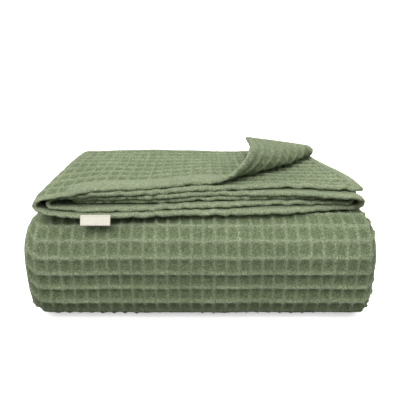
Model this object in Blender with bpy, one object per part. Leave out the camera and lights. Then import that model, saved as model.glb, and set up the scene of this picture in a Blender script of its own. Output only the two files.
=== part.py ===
"""Waffle weave cotton blanket, folded, with its sewn label.

The cloth is one sheet. Across its width it is folded into a strip of six layers, and along
its length that strip lies in five passes, the last of them a loose flap on top. The mesh
starts as the flat cloth: x runs across it, y along it and z through its thickness. One map
then folds it: a folded outline across the strip, carried along a folded path.
Metres, +Z up, front towards -Y.
"""

import math

import bmesh
import bpy
from mathutils import Matrix, Vector

# Driving sizes
CLOTH = 0.0030  # thickness of the cloth
PITCH = 0.00545  # one layer to the next
STRIP = 6 * PITCH  # one pass of the strip to the next
FREE_EDGE = 0.192  # where the cloth's two free edges lie, on the right
TOP_LAYER = 2.5  # the top layer's height over the strip's middle, in pitches
FLAP_START = -0.080  # the flap's front, before each layer's own offset
FLAP_HEIGHT = 4.5 * STRIP  # the middle of the flap

# The strip's outline, from the top layer's free edge: each layer runs to the tip of a fold
# and turns. Columns: layer, fold tip x, turn in degrees, turn radius in pitches,
# nose length over radius, segments along the layer, segments round the turn.
STRIP_FOLDS = (
    (1, -0.193, 180, 2.5, 1.5, 7, 7),
    (6, 0.189, 180, 1.5, 1.3, 5, 5),
    (3, -0.149, 180, 0.5, 1.0, 4, 4),
    (4, 0.180, -180, 0.5, 1.0, 3, 4),
    (5, -0.180, -180, 1.5, 1.2, 4, 5),
    (2, FREE_EDGE, 0, 0.0, 1.0, 4, 0),
)

# The path of the strip's middle, from the flap's front hem, seen from the left.
# Columns: name, straight length, turn in degrees, turn radius, segments along, segments round.
PATH_FOLDS = (
    ("flap and top back fold", 0.1795, -180, STRIP / 2, 6, 7),
    ("fourth pass and shoulder", 0.1785, 96, 0.0369, 3, 4),
    ("front face and foot", 0.0383, 84, 0.0215, 1, 3),
    ("bottom pass and its back fold", 0.1898, 180, STRIP / 2, 2, 6),
    ("second pass and inner fold", 0.1643, -180, STRIP / 2, 2, 6),
    ("third pass, to the back hem", 0.1760, 0, 0.0, 2, 0),
)

# Where each layer's front hem lies, at five even places from the flap's left to its right.
FLAP_HEMS = {
    1: (-0.112, -0.097, -0.071, -0.066, -0.066),
    2: (-0.106, -0.101, -0.079, -0.067, -0.080),
    3: (-0.098, -0.098, -0.081, -0.083, -0.097),
    4: (-0.092, -0.094, -0.081, -0.078, -0.081),
    5: (-0.108, -0.109, -0.094, -0.083, -0.083),
    6: (-0.119, -0.115, -0.104, -0.101, -0.085),
}
HEM_FADE = 0.120  # how far behind the hem its own offset ends

# The top layer's free corner, rolled back over itself
ROLL_START = Vector((0.011, -0.064))  # where the crease leaves the front hem
ROLL_ANGLE = math.radians(39.5)  # the crease's direction from +X
ROLL_RADIUS = 0.0225  # its radius at the front hem
ROLL_TAPER = 0.070  # how much smaller that is for each metre along the crease
ROLL_CUTS = 3  # extra cuts in each face there, so that it rolls smoothly
ROLL_MARGIN = 0.006  # how far those cuts reach past the rolled part

# Unevenness of the folded stack
WIDER = 0.050  # how much wider the lower passes are than the flap
NARROW = 0.130  # how much the flap's right side draws in towards the back
NARROW_SPAN = (-0.050, 0.105)  # where it does so, from front to back
TIP_PULL = 0.005  # how far the flap's front left tip is pulled in
TIP_FROM = -0.140  # where that pull starts across the flap, and over how much it grows
TIP_SPAN = 0.050
TIP_FADE = 0.030  # how far behind the hem it ends
PINCH_FROM = -0.120  # where the flap starts to narrow towards its left fold
PINCH_SPAN = 0.070
PINCH_KEEP = 0.58  # its height at that fold, over its full height
PINCH_FADE = 0.100  # how far behind the origin it is at its full height again
SAG = 0.0012  # slow waves of the layers, up and down
SAG_WAVES = (31.0, 24.0)  # radians for each metre across and along
SAG_PHASE = 0.6  # radians, where the waves stand at the middle
SAG_FULL = 0.160  # the height where the waves are full, as the floor keeps the lowest flat

# Sewn label, which hangs over the lowest layer's hem
LABEL_WIDTH = 0.0335
LABEL_HEIGHT = 0.0120
LABEL_CLOTH = 0.0010
LABEL_X = -0.1178
LABEL_TOP = 0.1392
LABEL_GAP = 0.0005  # clear of the hem that it is sewn to
LABEL_TILT = math.radians(28)  # how far its lower edge stands forward


def smooth(value):
    """A soft step from 0 to 1."""
    value = min(max(value, 0.0), 1.0)
    return value * value * (3.0 - 2.0 * value)


def turn_length(turn, radius, nose):
    """The length of a half ellipse by Ramanujan's formula, or of the turn's share of it."""
    a, b = radius * nose, radius
    half = math.pi * (3 * (a + b) - math.sqrt((3 * a + b) * (a + 3 * b))) / 2
    return half * abs(turn) / 180


def strip_rows():
    """The strip's outline as rows of run, turn, radius, nose, and its two segment counts."""
    rows = []
    x = FREE_EDGE
    for _, tip, turn, pitches, nose, along, around in STRIP_FOLDS:
        radius = pitches * PITCH
        end = tip - math.copysign(radius * nose, tip - x)
        rows.append((abs(end - x), turn, radius, nose, along, around))
        x = end
    return rows


def path_rows():
    """The path in the same form as the strip's outline."""
    return [(run, turn, radius, 1.0, along, around) for _, run, turn, radius, along, around in PATH_FOLDS]


def stations(rows):
    """The lengths along a folded line where the mesh has its lines."""
    places = [0.0]
    for run, turn, radius, nose, along, around in rows:
        for length, count in ((run, along), (turn_length(turn, radius, nose), around)):
            start = places[-1]
            places += [start + length * (i + 1) / count for i in range(count)]
    return places


def follow(rows, start, heading, length, lift):
    """The point at a length along a folded line, lifted off it to the right of the walk."""
    point = Vector(start)
    for run, turn, radius, nose, _, _ in rows:
        ahead = Vector((math.cos(heading), math.sin(heading)))
        left = Vector((-ahead.y, ahead.x))
        if length <= run or not turn:
            return point + ahead * length - left * lift
        sense = math.copysign(1, turn)
        centre = point + ahead * run + left * radius * sense
        arc = turn_length(turn, radius, nose)
        angle = math.radians(abs(turn)) * min((length - run) / arc, 1.0)
        across = left * sense * math.cos(angle)
        point = centre + (ahead * nose * math.sin(angle) - across) * radius
        if length - run <= arc:
            outward = ahead * math.sin(angle) - across * nose
            return point + outward.normalized() * sense * lift
        heading += math.radians(turn)
        length -= run + arc
    return point


STRIP_ROWS = strip_rows()
PATH_ROWS = path_rows()
FLAP_LENGTH = PATH_ROWS[0][0]
FOLD_LENGTH = turn_length(*PATH_ROWS[0][1:4])  # of the fold behind the flap


def hem_knots():
    """Lengths across the cloth, and how far forward its front hem lies at each."""
    knots = []
    start = 0.0
    for (layer, *_), (run, turn, radius, nose, *_) in zip(STRIP_FOLDS, STRIP_ROWS):
        places = FLAP_HEMS[layer]
        if layer in (1, 3, 5):  # walked from right to left
            places = places[::-1]
        for share, place in zip((0.0, 0.25, 0.5, 0.75, 1.0), places):
            knots.append((start + run * share, place - FLAP_START))
        start += run + turn_length(turn, radius, nose)
    return knots


HEM_KNOTS = hem_knots()


def hem_offset(across):
    for (s0, y0), (s1, y1) in zip(HEM_KNOTS, HEM_KNOTS[1:]):
        if across <= s1:
            return y0 + (y1 - y0) * smooth((across - s0) / (s1 - s0))
    return HEM_KNOTS[-1][1]


CREASE = Vector((math.cos(ROLL_ANGLE), math.sin(ROLL_ANGLE)))
PAST_CREASE = Vector((CREASE.y, -CREASE.x))


def from_crease(x, y):
    """How far a point of the top layer lies along the crease, and how far past it."""
    place = Vector((x, y)) - ROLL_START
    return place.dot(CREASE), place.dot(PAST_CREASE)


def roll_corner(x, y, lift):
    """Roll the top layer's corner up and back about its crease. Returns x, y and the rise."""
    along, past = from_crease(x, y)
    if past <= 0:
        return x, y, lift
    radius = ROLL_RADIUS - ROLL_TAPER * along
    half_turn = math.pi * radius
    if past < half_turn:
        angle = past / radius
        out = (radius - lift) * math.sin(angle)
        rise = radius - (radius - lift) * math.cos(angle)
    else:
        out = half_turn - past
        rise = 2 * radius - lift
    rolled = ROLL_START + CREASE * along + PAST_CREASE * out
    return rolled.x, rolled.y, rise


def set_width(x, y, length):
    """Draw in the flap's right side and its left tip, and widen the passes under it."""
    in_pass = smooth((length - FLAP_LENGTH) / FOLD_LENGTH)
    front, back = NARROW_SPAN
    drawn = smooth((y - front) / (back - front)) if length < FLAP_LENGTH else 1.0
    narrow = NARROW * drawn * smooth(x / FREE_EDGE) * (1.0 - in_pass)
    tip = TIP_PULL * smooth((TIP_FROM - x) / TIP_SPAN) * (1.0 - smooth(length / TIP_FADE))
    return x * (1.0 - narrow + WIDER * in_pass) + tip


def fold(across, length, lift):
    """Where a point of the flat cloth lies in the folded blanket."""
    x, level = follow(STRIP_ROWS, (FREE_EDGE, TOP_LAYER * PITCH), math.pi, across, lift)
    y, z = follow(PATH_ROWS, (FLAP_START, FLAP_HEIGHT), 0.0, length, -level)
    y += hem_offset(across) * (1.0 - smooth(length / HEM_FADE))
    if length < FLAP_LENGTH and across < STRIP_ROWS[0][0]:
        x, y, rise = roll_corner(x, y, lift)
        z += rise - lift
    if length < FLAP_LENGTH + FOLD_LENGTH / 2:
        pinch = smooth((PINCH_FROM - x) / PINCH_SPAN) * smooth(0.5 - y / PINCH_FADE / 2)
        z = FLAP_HEIGHT + (z - FLAP_HEIGHT) * (1.0 - (1.0 - PINCH_KEEP) * pinch)
    x = set_width(x, y, length)
    waves = math.sin(SAG_WAVES[0] * x + SAG_PHASE) * math.cos(SAG_WAVES[1] * y)
    z += SAG * waves * (z / SAG_FULL) ** 2
    return Vector((x, y, z))


def material(name, colour, roughness):
    made = bpy.data.materials.new(name)
    made.use_nodes = True
    shader = made.node_tree.nodes["Principled BSDF"]
    shader.inputs["Base Color"].default_value = (*colour, 1.0)
    shader.inputs["Roughness"].default_value = roughness
    shader.inputs["Metallic"].default_value = 0.0
    return made


def add_object(bm, name, made):
    mesh = bpy.data.meshes.new(name)
    bm.to_mesh(mesh)
    bm.free()
    mesh.materials.append(made)
    made_object = bpy.data.objects.new(name, mesh)
    bpy.context.scene.collection.objects.link(made_object)
    return made_object


def in_roll(flat):
    """True for a place on the flat cloth that the turned corner's roll bends."""
    _, past = from_crease(FREE_EDGE - flat.x, FLAP_START + flat.y)
    reach = math.pi * ROLL_RADIUS + ROLL_MARGIN
    return flat.x < STRIP_ROWS[0][0] and flat.y < FLAP_LENGTH and -ROLL_MARGIN < past < reach


def make_blanket():
    """Lay the cloth flat as a closed thin sheet, then fold it."""
    columns = stations(STRIP_ROWS)
    rows = stations(PATH_ROWS)
    bm = bmesh.new()
    bmesh.ops.create_grid(bm, x_segments=len(columns) - 1, y_segments=len(rows) - 1, size=1.0)
    for vert in bm.verts:
        column = round((vert.co.x + 1.0) / 2.0 * (len(columns) - 1))
        row = round((vert.co.y + 1.0) / 2.0 * (len(rows) - 1))
        vert.co = (columns[column], rows[row], -CLOTH / 2)
    rolled = [face for face in bm.faces if in_roll(face.calc_center_median())]
    edges = list({edge for face in rolled for edge in face.edges})
    bmesh.ops.subdivide_edges(bm, edges=edges, cuts=ROLL_CUTS, use_grid_fill=True)
    many_sided = [face for face in bm.faces if len(face.verts) > 4]
    bmesh.ops.triangulate(bm, faces=many_sided)
    sheet = bmesh.ops.extrude_face_region(bm, geom=bm.faces[:], use_keep_orig=True)
    for item in sheet["geom"]:
        if isinstance(item, bmesh.types.BMVert):
            item.co.z = CLOTH / 2
    bmesh.ops.recalc_face_normals(bm, faces=bm.faces[:])
    for vert in bm.verts:
        vert.co = fold(*vert.co)
    bmesh.ops.reverse_faces(bm, faces=bm.faces[:])  # folding turns the flat cloth inside out
    return add_object(bm, "blanket", material("waffle cotton", (0.30, 0.36, 0.21), 0.95))


def label_front():
    """The lowest layer's hem, where it is furthest forward behind the label."""
    sixth = STRIP_ROWS[0][0] + turn_length(*STRIP_ROWS[0][1:4])
    left = STRIP_FOLDS[0][1] + STRIP_ROWS[0][2] * STRIP_ROWS[0][3]
    edges = [sixth + LABEL_X + side * LABEL_WIDTH / 2 - left for side in (-1, 0, 1)]
    return min(fold(across, 0.0, 0.0).y for across in edges)


def make_label():
    """A small woven label, hanging in front of the hem."""
    bm = bmesh.new()
    bmesh.ops.create_cube(bm, size=1.0)
    bmesh.ops.scale(bm, vec=(LABEL_WIDTH, LABEL_CLOTH, LABEL_HEIGHT), verts=bm.verts)
    bmesh.ops.translate(bm, vec=(0.0, 0.0, -LABEL_HEIGHT / 2), verts=bm.verts)
    bmesh.ops.rotate(bm, matrix=Matrix.Rotation(-LABEL_TILT, 3, "X"), verts=bm.verts)
    y = label_front() - LABEL_GAP - LABEL_CLOTH / 2
    bmesh.ops.translate(bm, vec=(LABEL_X, y, LABEL_TOP), verts=bm.verts)
    return add_object(bm, "label", material("woven label", (0.86, 0.83, 0.70), 0.8))


def stand_on_origin(objects):
    """Put the middle of the whole object's base at the origin."""
    points = [vert.co for each in objects for vert in each.data.vertices]
    lows = [min(point[axis] for point in points) for axis in range(3)]
    highs = [max(point[axis] for point in points) for axis in range(3)]
    middle = Vector(((lows[0] + highs[0]) / 2, (lows[1] + highs[1]) / 2, lows[2]))
    for point in points:
        point -= middle
    print("size", [round(high - low, 4) for low, high in zip(lows, highs)], "moved by", middle)


def main():
    for old in list(bpy.data.objects):
        bpy.data.objects.remove(old)
    pieces = [make_blanket(), make_label()]
    stand_on_origin(pieces)
    width, length = stations(STRIP_ROWS)[-1], stations(PATH_ROWS)[-1]
    print("flat cloth", round(width, 4), "by", round(length, 4))
    print("triangles", [sum(len(face.vertices) - 2 for face in each.data.polygons) for each in pieces])


main()
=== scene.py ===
# %% [markdown]
# # Folded waffle weave blanket
# A large cotton blanket in a deep waffle weave. It is folded into a strip of six layers, the
# strip is folded again into a thick stack with a loose flap on top, and the flap's top corner
# is turned back. A small woven label is sewn to the hem.
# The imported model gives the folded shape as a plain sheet. Here the same sheet is made again
# with its hems and with every cell of the weave that can be seen, and it replaces the plain one.

import math

import bmesh
import bpy
from mathutils import Matrix, Vector, noise


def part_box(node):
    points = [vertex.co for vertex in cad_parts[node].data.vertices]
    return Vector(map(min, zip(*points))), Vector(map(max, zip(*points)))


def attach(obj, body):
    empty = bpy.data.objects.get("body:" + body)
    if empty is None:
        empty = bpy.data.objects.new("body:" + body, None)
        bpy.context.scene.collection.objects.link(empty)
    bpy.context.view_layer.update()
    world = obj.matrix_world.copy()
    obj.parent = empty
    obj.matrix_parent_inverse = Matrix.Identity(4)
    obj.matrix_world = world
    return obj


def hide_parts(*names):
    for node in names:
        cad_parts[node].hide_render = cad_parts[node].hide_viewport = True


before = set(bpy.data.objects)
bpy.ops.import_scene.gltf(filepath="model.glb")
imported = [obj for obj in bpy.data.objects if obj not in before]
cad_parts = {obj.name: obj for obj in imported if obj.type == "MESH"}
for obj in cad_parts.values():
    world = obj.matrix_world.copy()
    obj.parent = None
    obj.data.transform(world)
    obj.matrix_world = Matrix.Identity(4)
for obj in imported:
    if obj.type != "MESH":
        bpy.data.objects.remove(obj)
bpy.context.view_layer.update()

# %% [markdown]
# ## How the blanket is folded
# A fold can be made by hand, by a cloth simulation or by a rule. A neat stack of thirty layers
# is too much contact for a simulation, so a rule is used: the outline of the six layers, seen
# from the front, is carried along the path of the five passes, seen from the left side. Both
# lines are the same kind of thing, straight runs that end in round turns, so one table form
# and one function serve both. Metres, +Z up, front towards -Y.

# %% Sizes of the folded blanket
CLOTH = 0.0030  # thickness of the cloth, without its ridges
PITCH = 0.00545  # one layer to the next
STRIP = 6 * PITCH  # one pass of the strip to the next
FREE_EDGE = 0.192  # the cloth's two free edges, on the right
TOP_LAYER = 2.5  # the top layer's height over the strip's middle, in pitches
FLAP_START = -0.080  # the flap's front, before each layer's own offset
FLAP_HEIGHT = 4.5 * STRIP  # the middle of the flap

# Columns: layer, fold tip x, turn in degrees, turn radius in pitches, nose length over radius.
STRIP_FOLDS = (
    (1, -0.193, 180, 2.5, 1.5),
    (6, 0.189, 180, 1.5, 1.3),
    (3, -0.149, 180, 0.5, 1.0),
    (4, 0.180, -180, 0.5, 1.0),
    (5, -0.180, -180, 1.5, 1.2),
    (2, FREE_EDGE, 0, 0.0, 1.0),
)

# Columns: name, straight length, turn in degrees, turn radius.
PATH_FOLDS = (
    ("flap and top back fold", 0.1795, -180, STRIP / 2),
    ("fourth pass and shoulder", 0.1785, 96, 0.0369),
    ("front face and foot", 0.0383, 84, 0.0215),
    ("bottom pass and its back fold", 0.1898, 180, STRIP / 2),
    ("second pass and inner fold", 0.1643, -180, STRIP / 2),
    ("third pass, to the back hem", 0.1760, 0, 0.0),
)

# Where each layer's front hem lies, at five even places from the flap's left to its right.
FLAP_HEMS = {
    1: (-0.112, -0.097, -0.071, -0.066, -0.066),
    2: (-0.106, -0.101, -0.079, -0.067, -0.080),
    3: (-0.098, -0.098, -0.081, -0.083, -0.097),
    4: (-0.092, -0.094, -0.081, -0.078, -0.081),
    5: (-0.108, -0.109, -0.094, -0.083, -0.083),
    6: (-0.119, -0.115, -0.104, -0.101, -0.085),
}
HEM_FADE = 0.120  # how far behind the hem its own offset ends

# The top layer's free corner, rolled back over itself.
ROLL_START = Vector((0.011, -0.064))  # where the crease leaves the front hem
ROLL_ANGLE = math.radians(39.5)  # the crease's direction from +X
ROLL_RADIUS = 0.0225  # its radius at the front hem
ROLL_TAPER = 0.070  # how much smaller that is for each metre along the crease

# Unevenness of the folded stack.
WIDER = 0.050  # how much wider the lower passes are than the flap
NARROW = 0.130  # how much the flap's right side draws in towards the back
NARROW_SPAN = (-0.050, 0.105)  # where it does so, from front to back
TIP_PULL = 0.005  # how far the flap's front left tip is pulled in
TIP_FROM = -0.140  # where that pull starts across the flap, and over how much it grows
TIP_SPAN = 0.050
TIP_FADE = 0.030  # how far behind the hem it ends
PINCH_FROM = -0.120  # where the flap starts to narrow towards its left fold
PINCH_SPAN = 0.070
PINCH_KEEP = 0.58  # its height at that fold, over its full height
PINCH_FADE = 0.100  # how far behind the origin it is at its full height again
SAG = 0.0012  # slow waves of the layers, up and down
SAG_WAVES = (31.0, 24.0)  # radians for each metre across and along
SAG_PHASE = 0.6  # radians, where the waves stand at the middle
SAG_FULL = 0.160  # the height where the waves are full


# %% A folded line
def smooth(value):
    """A soft step from 0 to 1."""
    value = min(max(value, 0.0), 1.0)
    return value * value * (3.0 - 2.0 * value)


def turn_length(turn, radius, nose):
    """The length of a turn: its share of a half ellipse, by Ramanujan's formula."""
    a, b = radius * nose, radius
    half = math.pi * (3 * (a + b) - math.sqrt((3 * a + b) * (a + 3 * b))) / 2
    return half * abs(turn) / 180


def strip_rows():
    """The strip's outline as rows of run, turn, radius and nose."""
    rows = []
    x = FREE_EDGE
    for _, tip, turn, pitches, nose in STRIP_FOLDS:
        radius = pitches * PITCH
        end = tip - math.copysign(radius * nose, tip - x)
        rows.append((abs(end - x), turn, radius, nose))
        x = end
    return rows


STRIP_ROWS = strip_rows()
PATH_ROWS = [(run, turn, radius, 1.0) for _, run, turn, radius in PATH_FOLDS]


def marks(rows):
    """Where each run starts, where its turn starts and where that ends, as lengths."""
    places = []
    start = 0.0
    for run, turn, radius, nose in rows:
        end = start + run + turn_length(turn, radius, nose)
        places.append((start, start + run, end))
        start = end
    return places


STRIP_MARKS = marks(STRIP_ROWS)
PATH_MARKS = marks(PATH_ROWS)
FLAP_ENDS = PATH_MARKS[0][1:]  # where the flap ends, and where its back fold ends
WIDTH = STRIP_MARKS[-1][2]
LENGTH = PATH_MARKS[-1][2]
print("flat along its middle layer", round(WIDTH, 3), "by", round(LENGTH, 3))


def follow(rows, start, heading, length, lift):
    """The point at a length along a folded line, lifted to the right of the walk."""
    point = Vector(start)
    for run, turn, radius, nose in rows:
        ahead = Vector((math.cos(heading), math.sin(heading)))
        left = Vector((-ahead.y, ahead.x))
        if length <= run or not turn:
            return point + ahead * length - left * lift
        sense = math.copysign(1, turn)
        centre = point + ahead * run + left * radius * sense
        arc = turn_length(turn, radius, nose)
        angle = math.radians(abs(turn)) * min((length - run) / arc, 1.0)
        across = left * sense * math.cos(angle)
        point = centre + (ahead * nose * math.sin(angle) - across) * radius
        if length - run <= arc:
            outward = ahead * math.sin(angle) - across * nose
            return point + outward.normalized() * sense * lift
        heading += math.radians(turn)
        length -= run + arc
    return point


def heading_at(length):
    """How far the strip has turned by this length along its path, in radians."""
    turned = 0.0
    for (_, begin, end), (_, turn, _, _) in zip(PATH_MARKS, PATH_ROWS):
        if turn and length > begin:
            turned += math.radians(turn) * min((length - begin) / (end - begin), 1.0)
    return turned


# %% [markdown]
# ## The flap's uneven front and its turned corner
# The six hems of the flap don't lie on one line: each is slid forwards or back along its own
# path. The corner of the top layer is rolled about a slanting crease, so that the cloth's
# underside shows. Each of these could be sculpted by hand on the mesh; as small functions
# they stay editable, and they act on the cloth, its hem and its weave together.

# %% The map from flat cloth to folded blanket
def hem_knots():
    """Lengths across the cloth, and how far forward its front hem lies at each."""
    knots = []
    for (layer, *_), (start, end, _) in zip(STRIP_FOLDS, STRIP_MARKS):
        places = FLAP_HEMS[layer]
        if layer in (1, 3, 5):  # walked from right to left
            places = places[::-1]
        for share, place in zip((0.0, 0.25, 0.5, 0.75, 1.0), places):
            knots.append((start + (end - start) * share, place - FLAP_START))
    return knots


HEM_KNOTS = hem_knots()


def hem_offset(across):
    for (s0, y0), (s1, y1) in zip(HEM_KNOTS, HEM_KNOTS[1:]):
        if across <= s1:
            return y0 + (y1 - y0) * smooth((across - s0) / (s1 - s0))
    return HEM_KNOTS[-1][1]


CREASE = Vector((math.cos(ROLL_ANGLE), math.sin(ROLL_ANGLE)))
PAST_CREASE = Vector((CREASE.y, -CREASE.x))


def from_crease(x, y):
    """How far a point of the top layer lies along the crease, and how far past it."""
    place = Vector((x, y)) - ROLL_START
    return place.dot(CREASE), place.dot(PAST_CREASE)


def roll_corner(x, y, lift):
    """Roll the top layer's corner up and back about its crease. Returns x, y and the rise."""
    along, past = from_crease(x, y)
    if past <= 0:
        return x, y, lift
    radius = ROLL_RADIUS - ROLL_TAPER * along
    half_turn = math.pi * radius
    if past < half_turn:
        angle = past / radius
        out = (radius - lift) * math.sin(angle)
        rise = radius - (radius - lift) * math.cos(angle)
    else:
        out = half_turn - past
        rise = 2 * radius - lift
    rolled = ROLL_START + CREASE * along + PAST_CREASE * out
    return rolled.x, rolled.y, rise


def set_width(x, y, length):
    """Draw in the flap's right side and its left tip, and widen the passes under it."""
    flap_end, fold_end = FLAP_ENDS
    in_pass = smooth((length - flap_end) / (fold_end - flap_end))
    front, back = NARROW_SPAN
    drawn = smooth((y - front) / (back - front)) if length < flap_end else 1.0
    narrow = NARROW * drawn * smooth(x / FREE_EDGE) * (1.0 - in_pass)
    tip = TIP_PULL * smooth((TIP_FROM - x) / TIP_SPAN) * (1.0 - smooth(length / TIP_FADE))
    return x * (1.0 - narrow + WIDER * in_pass) + tip


def fold(across, length, lift):
    """Where a point of the flat cloth lies in the folded blanket."""
    x, level = follow(STRIP_ROWS, (FREE_EDGE, TOP_LAYER * PITCH), math.pi, across, lift)
    y, z = follow(PATH_ROWS, (FLAP_START, FLAP_HEIGHT), 0.0, length, -level)
    y += hem_offset(across) * (1.0 - smooth(length / HEM_FADE))
    if length < PATH_MARKS[0][1] and across < STRIP_MARKS[0][1]:
        x, y, rise = roll_corner(x, y, lift)
        z += rise - lift
    if length < (PATH_MARKS[0][1] + PATH_MARKS[0][2]) / 2:
        pinch = smooth((PINCH_FROM - x) / PINCH_SPAN) * smooth(0.5 - y / PINCH_FADE / 2)
        z = FLAP_HEIGHT + (z - FLAP_HEIGHT) * (1.0 - (1.0 - PINCH_KEEP) * pinch)
    x = set_width(x, y, length)
    waves = math.sin(SAG_WAVES[0] * x + SAG_PHASE) * math.cos(SAG_WAVES[1] * y)
    z += SAG * waves * (z / SAG_FULL) ** 2
    return Vector((x, y, z))


# %% [markdown]
# ## The weave
# A waffle weave has ridges of long floats round square hollows, on both faces, with the
# hollows of one face behind the ridges of the other. It could be a bump map, but the cells
# are 13 by 19 mm and cast their own shadows, so where they show they are real relief.
# Each layer lies further from or nearer to the middle of a fold, so its cloth is longer or
# shorter there: the weave's own length is counted along the layer and not along the strip.

# %% The weave's cells, counted along the cloth
HEM = 0.012  # width of the turned hem
CELL_ACROSS = 0.0129
CELL_ALONG = 0.0192
RIDGE_LIFT = 0.0028  # a ridge over the cloth's middle
HOLLOW_LIFT = -0.0009  # a hollow's floor, just past the cloth's middle
HEM_LIFT = 0.0026  # half the thickness of a hem
HEM_EDGE = 0.0007  # half its thickness at the very edge
HEM_DIP = 0.0009  # how much thinner it is at its inner edge, where it is sewn
SEWN_FROM, SEWN_SPAN = 0.72 * HEM, 0.20 * HEM  # how far from its edge it thins to that
HEM_PUFF = 0.35  # how unevenly it is puffed up
PUFF_WAVES = (150, 60)  # waves of that for each metre, across and along
PUCKER = 0.0034  # how far the sewing draws the hem's edge in and out, at most
PUCKER_WAVES = 140
RIPPLE = 0.0020  # how far it draws it up and down
RIPPLE_WAVES = 75
PUCKER_END = 1.6 * HEM  # how far behind the edge the puckers end
LABEL_ACROSS = STRIP_MARKS[0][2] + 0.053  # where the label is sewn, which holds the hem straight
HELD_TO, HELD_FADE = 0.016, 0.020  # how far from there it does so fully, and how that fades
RIDGE_POWER = 3.8  # the higher, the narrower the ridges
WANDER_WAVES = 22  # uneven stretching of the cells, in waves for each metre
WANDER = (0.08, 0.07)  # how far it shifts them across and along, in cells
WANDER_HEIGHT = 0.3  # how much it changes their height
noise.seed_set(3)  # the same uneven cells every time


def level_at(across):
    """A layer's height over the strip's middle."""
    return follow(STRIP_ROWS, (FREE_EDGE, TOP_LAYER * PITCH), math.pi, across, 0.0).y


def weave_length(length, level):
    """The cloth's own length at a place on the path, for a layer at this level."""
    return length - level * heading_at(length)


def uneven(across, length, seed):
    """A smooth random value of about -0.5 to 0.5, for a place counted in its own waves."""
    return noise.noise(Vector((across, length, seed)))


def hem_profile(inset, puff):
    """Half the thickness of a hem, by the distance from the cloth's edge."""
    full = HEM_LIFT * (1.0 + HEM_PUFF * puff)
    if inset < full:
        round_edge = math.sqrt(max(1.0 - (1.0 - inset / full) ** 2, 0.0))
        return HEM_EDGE + (full - HEM_EDGE) * round_edge
    return full - HEM_DIP * smooth((inset - SEWN_FROM) / SEWN_SPAN)


def pucker(across, length):
    """How far the hem's edge is drawn forward and up by its stitches."""
    strength = 1.0 - smooth(length / PUCKER_END)
    strength *= smooth((abs(across - LABEL_ACROSS) - HELD_TO) / HELD_FADE)
    forward = PUCKER * uneven(across * PUCKER_WAVES, 0.0, 3.0) * strength
    up = RIPPLE * uneven(across * RIPPLE_WAVES, 5.0, 1.0) * strength
    return Vector((0.0, forward, up))


def ridge(place):
    """1 on a cell's ridge, falling to 0 in its hollow, for a place counted in cells."""
    off = abs(2.0 * (place - math.floor(place)) - 1.0)
    return off ** RIDGE_POWER


def cells_at(across, along, side):
    """A place in the weave, counted in cells: a little unevenly, as cloth stretches."""
    wander = noise.noise_vector(Vector((across * WANDER_WAVES, along * WANDER_WAVES, side)))
    shift = 0.0 if side > 0 else 0.5
    u = (across - HEM) / CELL_ACROSS + shift + WANDER[0] * wander.x
    v = (along - HEM) / CELL_ALONG + shift + WANDER[1] * wander.y
    return u, v, 1.0 + WANDER_HEIGHT * wander.z


# %% [markdown]
# ## The cloth
# The cloth starts flat, as a grid with a line at each cell, closer lines in the hems and the
# folds, and a back and a front face. Only the faces that will show are divided finely, which
# keeps the mesh small. Then each point is lifted by the weave and put in its folded place.

# %% Lines of the grid
HEM_LINES = (0.0, 0.0008, 0.0023, 0.0050, 0.0085, 0.0105, HEM)  # from the cloth's edge
CORNER = 0.190  # how far the turned corner reaches from the free edge and from the hem
TURN_STEP = 30  # a turn has a line at least at each of this many degrees
SPARSE = 3  # a run that never shows has a line at each of this many cells
WALK = 0.0002  # the small steps in which the cells along the cloth are counted
TOP_RUN, LOW_RUN, LAST_RUN = STRIP_MARKS[0], STRIP_MARKS[1], STRIP_MARKS[5]


def with_turns(places, rows, all_marks):
    """The lines in order, with even ones in each turn that has too few of its own."""
    for (_, turn, _, _), (_, begin, end) in zip(rows, all_marks):
        count = math.ceil(abs(turn) / TURN_STEP)
        inside = [place for place in places if begin <= place <= end]
        if len(inside) < count:
            even = [begin + (end - begin) * i / count for i in range(count + 1)]
            places = [place for place in places if place not in inside] + even
    return sorted(set(places))


def lines_across():
    places = list(HEM_LINES)
    count = round((WIDTH - 2 * HEM) / CELL_ACROSS)
    step = (WIDTH - 2 * HEM) / count
    inner = [(start, begin) for start, begin, _ in STRIP_MARKS[2:5]] + [(LAST_RUN[0], WIDTH - CORNER)]
    for cell in range(count):
        for quarter in (0.0, 0.25, 0.5, 0.75):
            place = HEM + (cell + quarter) * step
            near_turn = any(begin - step < place < end + step for _, begin, end in STRIP_MARKS[:-1])
            hidden = any(start < place < end for start, end in inner)
            if near_turn or quarter == 0.0 and (cell % SPARSE == 0 or not hidden):
                places.append(place)
    places += [WIDTH - inset for inset in HEM_LINES]
    return with_turns(places, STRIP_ROWS, STRIP_MARKS)


def lines_along():
    """Lines at the cells of the outermost layer: the top one first, then the lowest."""
    swap = (PATH_MARKS[1][0] + PATH_MARKS[1][1]) / 2
    places = list(HEM_LINES)
    outer = TOP_LAYER * PITCH
    for index in range(int(HEM / WALK), int((LENGTH - HEM) / WALK)):
        before, after = index * WALK, (index + 1) * WALK
        level = outer if after < swap else -outer
        in_turn = any(begin - HEM < after < end + HEM for _, begin, end in PATH_MARKS[:-1])
        parts = 2 if in_turn else 1
        cells = [(weave_length(place, level) - HEM) / CELL_ALONG * parts for place in (before, after)]
        if math.floor(cells[1]) > math.floor(cells[0]):
            places.append(after)
    places += [LENGTH - inset for inset in HEM_LINES]
    return with_turns(places, PATH_ROWS, PATH_MARKS)


ACROSS = lines_across()
ALONG = lines_along()
print(len(ACROSS), "lines across,", len(ALONG), "along")

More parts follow.
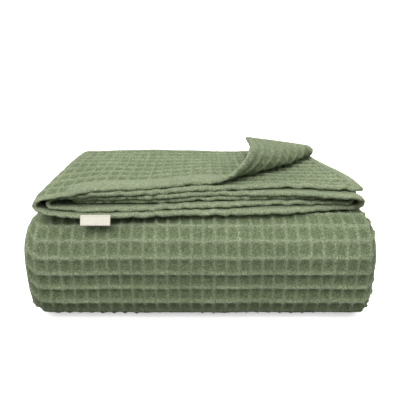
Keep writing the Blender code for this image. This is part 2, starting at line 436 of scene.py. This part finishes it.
# %% Which faces show
# Columns: how well a face shows, parts of a cell across, parts along.
FINENESS = ((1, 4, 5), (2, 7, 8))
HEM_PARTS = 5  # parts of a cell across, in the flap's hem
CREASE_MARGIN = 0.015  # how far past the crease the roll's outer face starts to show
FLAP_PAST = 0.020  # how far the flap shows into its back fold
FRONT_BEFORE, FRONT_PAST = 0.055, 0.010  # how far the thick fold shows before and past its turns


def corner_shows(across, length, side):
    """How well a face shows near the turned corner, or None for a face elsewhere."""
    if length > CORNER:
        return None
    if across < CORNER:
        _, past = from_crease(FREE_EDGE - across, FLAP_START + length)
        return 2 if (past < CREASE_MARGIN) == (side > 0) else 0
    if across > WIDTH - CORNER and side < 0:
        _, past = from_crease(FREE_EDGE - (WIDTH - across), FLAP_START + length)
        return 2 if past > -CREASE_MARGIN else 0
    return None


def shows(across, length, side):
    """How well a face of the cloth shows in the folded blanket: 0 not, 1 a little, 2 well."""
    corner = corner_shows(across, length, side)
    if corner is not None:
        return corner
    on_flap = length < PATH_MARKS[0][1] + FLAP_PAST
    on_front = PATH_MARKS[1][1] - FRONT_BEFORE < length < PATH_MARKS[2][2] + FRONT_PAST
    on_back_fold = any(PATH_MARKS[i][1] < length < PATH_MARKS[i][2] for i in (0, 3))
    in_left_fold = TOP_RUN[1] < across < TOP_RUN[2]
    in_right_fold = LOW_RUN[1] < across < LOW_RUN[2]
    if side < 0 or across > LOW_RUN[2]:
        return 0
    if on_flap and across < TOP_RUN[2] or on_front and across > TOP_RUN[1]:
        return 2
    if in_left_fold or in_right_fold:
        return 2 if on_front or on_flap else 1
    outermost = across < TOP_RUN[1] if length < PATH_MARKS[0][2] else across > TOP_RUN[2]
    return 1 if on_back_fold and outermost else 0


def divide(bm, faces, direction, step):
    """Divide the edges of these faces that run in one direction, to about one step each."""
    groups = {}
    for edge in dict.fromkeys(edge for face in faces for edge in face.edges):
        span = edge.verts[0].co - edge.verts[1].co
        if abs(span[direction]) > abs(span[1 - direction]):
            cuts = round(abs(span[direction]) / step) - 1
            if cuts > 0:
                groups.setdefault(cuts, []).append(edge)
    for cuts, edges in sorted(groups.items()):
        bmesh.ops.subdivide_edges(bm, edges=edges, cuts=cuts, use_grid_fill=True)


# %% Make the flat cloth
ROLL_RELIEF = 0.60, 0.15  # how much relief is left at the roll's foot, and over its top
RELIEF_FROM, RELIEF_SPAN = 0.020, 0.045  # how far past the crease it starts to go, and goes on
FLAT_HEIGHT = 0.55  # the weave's height where it is stretched flat
HEM_HEIGHT, PLAIN_HEIGHT = 0.75, 0.5  # the same for the hems, and where no cell is made


def flat_cloth():
    bm = bmesh.new()
    bmesh.ops.create_grid(bm, x_segments=len(ACROSS) - 1, y_segments=len(ALONG) - 1, size=1.0)
    for vert in bm.verts:
        column = round((vert.co.x + 1.0) / 2.0 * (len(ACROSS) - 1))
        row = round((vert.co.y + 1.0) / 2.0 * (len(ALONG) - 1))
        vert.co = (ACROSS[column], ALONG[row], -CLOTH / 2)
    sheet = bmesh.ops.extrude_face_region(bm, geom=bm.faces[:], use_keep_orig=True)
    for item in sheet["geom"]:
        if isinstance(item, bmesh.types.BMVert):
            item.co.z = CLOTH / 2
    bmesh.ops.recalc_face_normals(bm, faces=bm.faces[:])
    fine = bm.faces.layers.int.new("fine")
    for face in bm.faces:
        middle = face.calc_center_median()
        if abs(middle.z) > CLOTH / 4:
            face[fine] = shows(middle.x, middle.y, middle.z)
    hem_faces = [face for face in bm.faces if face.calc_center_median().y < HEM]
    divide(bm, hem_faces, 0, CELL_ACROSS / HEM_PARTS)
    for direction, cell in ((0, CELL_ACROSS), (1, CELL_ALONG)):
        for level, *parts in FINENESS:
            faces = [face for face in bm.faces if face[fine] == level]
            divide(bm, faces, direction, cell / parts[direction])
    many_sided = [face for face in bm.faces if len(face.verts) > 4]
    bmesh.ops.triangulate(bm, faces=many_sided)
    return bm, fine


def relief_at(across, length, side):
    """How much of its relief the weave keeps: less on the face that the roll stretches."""
    if side > 0 or max(across, length) > CORNER:
        return 1.0
    _, past = from_crease(FREE_EDGE - across, FLAP_START + length)
    near, far = ROLL_RELIEF
    return near + (far - near) * smooth((past - RELIEF_FROM) / RELIEF_SPAN)


def lift_at(across, length, side, fine):
    """How far a point of the cloth's face lies off its middle, and its height in the weave."""
    inset = min(across, WIDTH - across, length, LENGTH - length)
    if inset < HEM - 1e-6:
        waves = across * PUFF_WAVES[0], length * PUFF_WAVES[1]
        puff = uneven(*waves, side) if length < HEM else 0.0
        return hem_profile(inset, puff) * side, HEM_HEIGHT
    if not fine:
        return CLOTH / 2 * side, PLAIN_HEIGHT
    u, v, strength = cells_at(across, weave_length(length, level_at(across)), side)
    height = (1.0 - (1.0 - ridge(u)) * (1.0 - ridge(v))) * strength
    height = FLAT_HEIGHT + (height - FLAT_HEIGHT) * relief_at(across, length, side)
    return (HOLLOW_LIFT + (RIDGE_LIFT - HOLLOW_LIFT) * height) * side, height


def make_blanket():
    bm, fine = flat_cloth()
    flat = bm.loops.layers.uv.new("cloth")
    weave = bm.verts.layers.float.new("weave")
    for face in bm.faces:
        face.smooth = True
        side = math.copysign(1, face.calc_center_median().z)
        for loop in face.loops:
            across, length, _ = loop.vert.co
            u, v, _ = cells_at(across, weave_length(length, level_at(across)), side)
            loop[flat].uv = (u * CELL_ACROSS, v * CELL_ALONG)
    for vert in bm.verts:
        across, length, thickness = vert.co
        is_fine = any(face[fine] for face in vert.link_faces)
        lift, vert[weave] = lift_at(across, length, math.copysign(1, thickness), is_fine)
        vert.co = fold(across, length, lift)
        if length < 2 * HEM:
            vert.co += pucker(across, length)
    bmesh.ops.reverse_faces(bm, faces=bm.faces[:])  # folding turns the flat cloth inside out
    lows = [min(vert.co[axis] for vert in bm.verts) for axis in range(3)]
    highs = [max(vert.co[axis] for vert in bm.verts) for axis in range(3)]
    middle = Vector(((lows[0] + highs[0]) / 2, (lows[1] + highs[1]) / 2, lows[2]))
    bmesh.ops.translate(bm, vec=-middle, verts=bm.verts)
    return finish_mesh(bm, "folded_blanket")


def finish_mesh(bm, name):
    mesh = bpy.data.meshes.new(name)
    bm.to_mesh(mesh)
    bm.free()
    made = bpy.data.objects.new(name, mesh)
    bpy.context.scene.collection.objects.link(made)
    print(name, sum(len(face.vertices) - 2 for face in mesh.polygons), "triangles")
    return made


blanket = make_blanket()
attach(blanket, "root")
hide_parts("blanket")

# %% [markdown]
# ## The sewn label
# A small cream label hangs over the front of the lowest hem. It is a woven tape, so it has two
# firm edges, and stitches hold its top edge. A box would look like card: a thin sheet that
# bends a little, with its tape's ribs and its stitches in the surface, looks like cloth. It
# stays bare of words.

# %% Label
LABEL_WIDTH, LABEL_HEIGHT, LABEL_CLOTH = 0.0335, 0.0120, 0.0007
LABEL_TILT = math.radians(28)  # how far its lower edge stands forward
LABEL_BEND = 0.0008  # how far it bends out of flat
LABEL_WAVE = 0.0010  # how far its lower edge waves
LABEL_WAVES = 90  # in waves for each metre
LABEL_COLUMNS, LABEL_ROWS = 34, 12


def label_bulge(x, z):
    """How far forward a point of the label lies: its lower edge hangs free and waves."""
    down = -z / LABEL_HEIGHT
    wave = LABEL_WAVE * down * uneven(x * LABEL_WAVES, 0.0, 8.0)
    return LABEL_BEND * down * (down - 1.0) - wave


def make_label():
    low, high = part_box("label")
    top = Vector(((low[0] + high[0]) / 2, high[1] - LABEL_CLOTH, high[2]))
    bm = bmesh.new()
    bmesh.ops.create_grid(bm, x_segments=LABEL_COLUMNS, y_segments=LABEL_ROWS, size=0.5)
    flat = bm.loops.layers.uv.new("tape")
    for face in bm.faces:
        for loop in face.loops:
            loop[flat].uv = (loop.vert.co.x * LABEL_WIDTH, (loop.vert.co.y - 0.5) * LABEL_HEIGHT)
    for vert in bm.verts:
        x, z = vert.co.x * LABEL_WIDTH, (vert.co.y - 0.5) * LABEL_HEIGHT
        vert.co = (x, label_bulge(x, z), z)
    sheet = bmesh.ops.extrude_face_region(bm, geom=bm.faces[:], use_keep_orig=True)
    for item in sheet["geom"]:
        if isinstance(item, bmesh.types.BMVert):
            item.co.y += LABEL_CLOTH
    bmesh.ops.recalc_face_normals(bm, faces=bm.faces[:])
    for face in bm.faces:
        face.smooth = abs(face.normal.y) > 0.5
    bmesh.ops.rotate(bm, matrix=Matrix.Rotation(-LABEL_TILT, 3, "X"), verts=bm.verts)
    bmesh.ops.translate(bm, vec=top, verts=bm.verts)
    return finish_mesh(bm, "sewn_label")


label = make_label()
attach(label, "root")
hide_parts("label")

# %% [markdown]
# ## What the blanket is made of
# Washed cotton yarn is matt and fuzzy. A flat colour would look like clay, so three things are
# added, each at its real size: painted shade makes the hollows darker than the ridges, loose
# fibres make a fine curly grain, and the yarns themselves run along and across the cloth. All are
# computed from the cloth's own coordinates, so they turn with the folds and repeat nowhere.

# %% Small helpers for materials
def linear(hex_colour):
    """An sRGB hex colour as linear red, green, blue and alpha."""
    parts = [int(hex_colour[i : i + 2], 16) / 255 for i in (1, 3, 5)]
    return (*[p / 12.92 if p <= 0.04045 else ((p + 0.055) / 1.055) ** 2.4 for p in parts], 1.0)


def add_node(tree, kind, settings=None, **links):
    """Add a node, set its sockets and properties, and link sockets to it."""
    node = tree.nodes.new(kind)
    for key, value in (settings or {}).items():
        if isinstance(key, str) and hasattr(node, key):
            setattr(node, key, value)
        else:
            node.inputs[key].default_value = value
    for key, source in links.items():
        tree.links.new(source, node.inputs[key])
    return node


def calculate(tree, operation, first, second):
    """One sum of two values, each a number or another node's output."""
    node = tree.nodes.new("ShaderNodeMath")
    node.operation = operation
    for socket, value in zip(node.inputs, (first, second)):
        if isinstance(value, (int, float)):
            socket.default_value = value
        else:
            tree.links.new(value, socket)
    return node.outputs[0]


def mix_colours(tree, share, first, second, blend="MIX"):
    """Mix two colours, each a tuple or another node's output."""
    node = tree.nodes.new("ShaderNodeMix")
    node.data_type = "RGBA"
    node.blend_type = blend
    for socket, value in zip((node.inputs[0], node.inputs[6], node.inputs[7]), (share, first, second)):
        if isinstance(value, (int, float, tuple)):
            socket.default_value = value
        else:
            tree.links.new(value, socket)
    return node.outputs[2]


def grain(tree, vector, size, detail, distortion=0.0):
    """Noise whose lumps are about as large as size, in metres."""
    settings = {"Scale": 1.0 / size, "Detail": detail, "Roughness": 0.6, "Distortion": distortion}
    return add_node(tree, "ShaderNodeTexNoise", settings, Vector=vector).outputs["Fac"]


def stretch(tree, value, low, high, to_low, to_high):
    """Map a value's range to another, and keep it inside."""
    settings = {1: low, 2: high, 3: to_low, 4: to_high}
    return add_node(tree, "ShaderNodeMapRange", settings, Value=value).outputs[0]


def grey(tree, value):
    return add_node(tree, "ShaderNodeCombineColor", Red=value, Green=value, Blue=value).outputs[0]


def bump(tree, height, distance, under=None):
    """Small relief, as high as distance in metres, over the relief under it."""
    node = add_node(tree, "ShaderNodeBump", {"Strength": 1.0, "Distance": distance}, Height=height)
    if under:
        tree.links.new(under, node.inputs["Normal"])
    return node.outputs[0]


def cloth_shader(name):
    made = bpy.data.materials.new(name)
    made.use_nodes = True
    shader = made.node_tree.nodes["Principled BSDF"]
    shader.inputs["Roughness"].default_value = 0.95
    shader.inputs["Specular IOR Level"].default_value = 0.15
    shader.inputs["Sheen Roughness"].default_value = 0.5
    return made, made.node_tree, shader


# %% Waffle cotton
YARN = 0.0011  # one yarn to the next
KNOT_RELIEF = 0.00012  # how high the yarns stand where they cross
CURLS = 0.0018  # loose fibres and the twist of the yarns
CURL_RELIEF = 0.0022  # how strongly they roughen the surface
LINT = 0.0012  # the finest fibres
PATCHES = 0.045  # slow changes from the dye and the wash
# The hollow colour is painted shade: the same cotton, darker, where shade falls in the hollows.
HOLLOW_SHADE_COLOUR, RIDGE_COLOUR = "#788664", "#9AA686"
HOLLOW_TO, RIDGE_FROM = 0.10, 0.80  # the weave's heights where those colours are full


def waffle_cotton():
    """Sage green washed cotton: matt, with painted shade in its hollows, a curly grain and fine yarns."""
    made, tree, shader = cloth_shader("waffle cotton")
    place = add_node(tree, "ShaderNodeTexCoord").outputs["Object"]
    weave = add_node(tree, "ShaderNodeAttribute", {"attribute_name": "weave"}).outputs["Fac"]
    uv = add_node(tree, "ShaderNodeUVMap", {"uv_map": "cloth"}).outputs["UV"]
    uv_parts = add_node(tree, "ShaderNodeSeparateXYZ", Vector=uv)
    yarns = [
        calculate(tree, "SINE", calculate(tree, "MULTIPLY", uv_parts.outputs[axis], math.tau / YARN), 0.0)
        for axis in ("X", "Y")
    ]
    knots = calculate(tree, "MULTIPLY", *yarns)
    curls = grain(tree, place, CURLS, 3.0, distortion=1.1)
    lint = grain(tree, place, LINT, 2.0)
    patches = grain(tree, place, PATCHES, 2.0)
    height = stretch(tree, weave, HOLLOW_TO, RIDGE_FROM, 0.0, 1.0)
    # Painted shade: the colour darkens from the ridges down into the hollows, by the weave's height.
    colour = mix_colours(tree, height, linear(HOLLOW_SHADE_COLOUR), linear(RIDGE_COLOUR))
    for value, low, high in ((curls, 0.66, 1.34), (lint, 0.62, 1.38), (patches, 0.95, 1.05)):
        shade = grey(tree, stretch(tree, value, 0.35, 0.65, low, high))
        colour = mix_colours(tree, 1.0, colour, shade, "MULTIPLY")
    tree.links.new(colour, shader.inputs["Base Color"])
    relief = bump(tree, curls, CURL_RELIEF)
    relief = bump(tree, knots, KNOT_RELIEF, relief)
    tree.links.new(relief, shader.inputs["Normal"])
    shader.inputs["Sheen Weight"].default_value = 0.16
    shader.inputs["Sheen Tint"].default_value = linear("#C9D2B4")
    return made


blanket.data.materials.append(waffle_cotton())
print("waffle cotton on", blanket.name)

# %% Woven label tape
RIB = 0.0007  # the tape's ribs
STITCH = 0.0030  # one stitch to the next
SEAM_DOWN = 0.0013  # how far below the label's top edge the stitches run


def label_tape():
    """Cream tape with fine ribs, and one line of stitches near its top edge."""
    made, tree, shader = cloth_shader("woven label tape")
    uv = add_node(tree, "ShaderNodeUVMap", {"uv_map": "tape"}).outputs["UV"]
    parts = add_node(tree, "ShaderNodeSeparateXYZ", Vector=uv)
    waves = [
        calculate(tree, "SINE", calculate(tree, "MULTIPLY", parts.outputs[axis], math.tau / size), 0.0)
        for axis, size in (("X", RIB), ("Y", RIB), ("X", STITCH))
    ]
    place = add_node(tree, "ShaderNodeTexCoord").outputs["Object"]
    fibres = grain(tree, place, 0.0012, 3.0)
    off_seam = calculate(tree, "ABSOLUTE", calculate(tree, "ADD", parts.outputs["Y"], SEAM_DOWN), 0.0)
    on_seam = stretch(tree, off_seam, 0.00025, 0.00045, 1.0, 0.0)
    stitches = calculate(tree, "MULTIPLY", on_seam, stretch(tree, waves[2], -0.3, 0.1, 0.0, 1.0))
    fibre = stretch(tree, fibres, 0.3, 0.7, 0.0, 1.0)
    colour = mix_colours(tree, fibre, linear("#DEDAC8"), linear("#ECE8DA"))
    colour = mix_colours(tree, stitches, colour, linear("#CFC8AE"))
    tree.links.new(colour, shader.inputs["Base Color"])
    relief = bump(tree, calculate(tree, "MULTIPLY", waves[0], waves[1]), 0.00008)
    relief = bump(tree, stitches, 0.0003, relief)
    tree.links.new(relief, shader.inputs["Normal"])
    shader.inputs["Roughness"].default_value = 0.75
    return made


label.data.materials.append(label_tape())
print("label tape on", label.name)

# %% [markdown]
# ## Floor, light and camera
# The blanket lies on a white sheet under a wide soft light from above and in front, as goods
# are often shown. Lamps near it would light one side only, so the softbox is a wide sun and
# the room is the world: bright overhead, dim at the horizon and dark below it. The floor
# glows a little, so that only the shadow right under the blanket is seen.

# %% Floor
FLOOR_GLOW = 0.5  # how much of its own light the floor adds


def make_floor():
    bm = bmesh.new()
    bmesh.ops.create_grid(bm, x_segments=1, y_segments=1, size=40.0)
    floor = finish_mesh(bm, "floor")
    paper = bpy.data.materials.new("white paper")
    paper.use_nodes = True
    shader = paper.node_tree.nodes["Principled BSDF"]
    shader.inputs["Base Color"].default_value = linear("#FAFAF8")
    shader.inputs["Roughness"].default_value = 1.0
    shader.inputs["Emission Color"].default_value = (1.0, 1.0, 1.0, 1.0)
    shader.inputs["Emission Strength"].default_value = FLOOR_GLOW
    floor.data.materials.append(paper)
    floor.visible_diffuse = False  # a white floor this bright would light the front from below


make_floor()

# %% Light
def light_the_world(tree):
    """A white backdrop to the eye; as light, bright above the object and dark under it."""
    backdrop = tree.nodes["Background"]
    backdrop.inputs["Color"].default_value = (1.0, 1.0, 1.0, 1.0)
    backdrop.inputs["Strength"].default_value = 1.1
    direction = add_node(tree, "ShaderNodeTexCoord")
    parts = add_node(tree, "ShaderNodeSeparateXYZ", Vector=direction.outputs["Generated"])
    strength = stretch(tree, parts.outputs["Z"], SKY_LOW, SKY_HIGH, SKY_DARK, SKY_BRIGHT)
    sky = add_node(tree, "ShaderNodeBackground", {"Color": (1.0, 1.0, 1.0, 1.0)}, Strength=strength)
    path = add_node(tree, "ShaderNodeLightPath")
    mix = tree.nodes.new("ShaderNodeMixShader")
    tree.links.new(path.outputs["Is Camera Ray"], mix.inputs[0])
    tree.links.new(sky.outputs[0], mix.inputs[1])
    tree.links.new(backdrop.outputs[0], mix.inputs[2])
    tree.links.new(mix.outputs[0], tree.nodes["World Output"].inputs["Surface"])


def soft_light(name, direction, spread, strength):
    """A wide soft light from one direction, even over the whole floor."""
    lamp = bpy.data.lights.new(name, "SUN")
    lamp.angle = math.radians(spread)
    lamp.energy = strength
    made = bpy.data.objects.new(name, lamp)
    made.rotation_euler = Vector(direction).to_track_quat("-Z", "Y").to_euler()
    bpy.context.scene.collection.objects.link(made)


SKY_LOW, SKY_HIGH = -0.10, 0.40  # the sines of the heights where the room's light starts and is full
SKY_DARK, SKY_BRIGHT = 0.02, 0.90
world = bpy.data.worlds.new("studio")
bpy.context.scene.world = world
world.use_nodes = True
light_the_world(world.node_tree)
bpy.context.scene.view_settings.view_transform = "Standard"
soft_light("softbox above the camera", (0.14, 0.80, -1.0), 40, 2.15)

# %% Camera
camera_data = bpy.data.cameras.new("camera")
camera_data.sensor_width = 36.0
camera_data.lens = 40.5
camera = bpy.data.objects.new("camera", camera_data)
camera.location = (0.0, -0.590, 0.313)
camera.rotation_euler = (math.radians(90 - 18.43), 0, 0)
bpy.context.scene.collection.objects.link(camera)
bpy.context.scene.camera = camera
